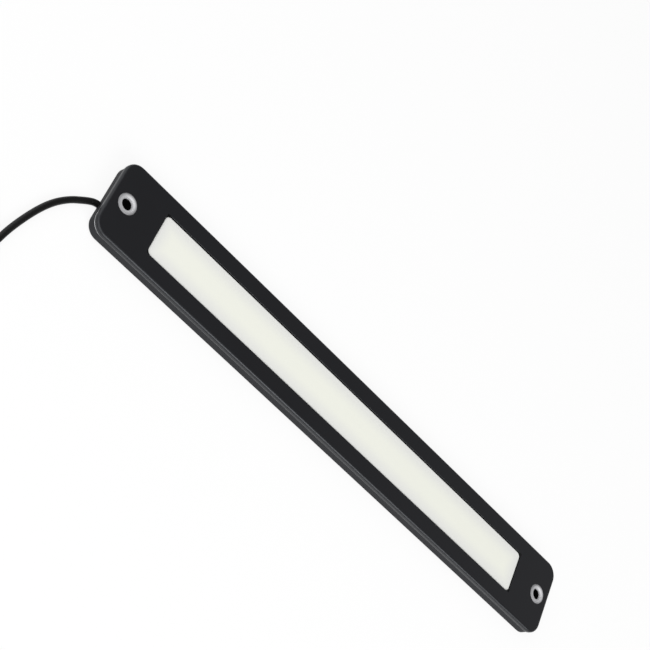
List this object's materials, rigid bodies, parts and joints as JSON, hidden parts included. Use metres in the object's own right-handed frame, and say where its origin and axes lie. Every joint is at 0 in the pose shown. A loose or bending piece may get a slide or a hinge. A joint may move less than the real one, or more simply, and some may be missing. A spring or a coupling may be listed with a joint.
{
  "type": "daytime running light",
  "caption": "Slim flat daytime running light: black moulded housing, long opal white lens, rolled metal eyelets at the ends for fixing screws, thin black supply cable.",
  "frame": {"origin": "under the middle of the lamp, on the surface that its rolled eyelet rims rest on", "axes": "+X along the lamp, away from the cable end; +Y across it; +Z out of the lit face"},
  "size_m": [0.3044, 0.0812, 0.008],
  "materials": {
    "bezel_black": "satin moulded black",
    "housing_black": "satin moulded black",
    "lens_opal": "smooth opal white",
    "seal_rubber": "soft black sealing rubber",
    "tape_white": "white bonding tape",
    "board_white": "aluminium core with white solder mask",
    "led_yellow": "white case with yellow phosphor",
    "chip_black": "black moulded chip",
    "solder": "bright solder",
    "core_red": "red insulation",
    "core_black": "black insulation",
    "cable_black": "smooth black jacket",
    "potting_black": "cured black compound",
    "eyelet_metal": "nickel-plated rolled metal",
    "tie_black": "black strap",
    "tinned_copper": "tinned strands"
  },
  "bodies": {
    "root": {"rear_housing": "housing_black", "front_bezel": "bezel_black", "diffuser_lens": "lens_opal", "lens_gasket": "seal_rubber", "perimeter_seal": "seal_rubber", "thermal_tape": "tape_white", "led_board": "board_white", "led_packages": "led_yellow", "ballast_resistors": "chip_black", "protection_diode": "chip_black", "solder_joints": "solder", "inner_lead_red": "core_red", "inner_lead_black": "core_black", "cable_root": "cable_black", "cable_potting": "potting_black", "eyelet_cable_end": "eyelet_metal", "eyelet_free_end": "eyelet_metal", "cable": "cable_black", "cable_coil": "cable_black", "cable_tail": "cable_black", "coil_tie": "tie_black", "end_lead_red": "core_red", "end_lead_black": "core_black", "lead_tip_red": "tinned_copper", "lead_tip_black": "tinned_copper"}
  },
  "joints": []
}
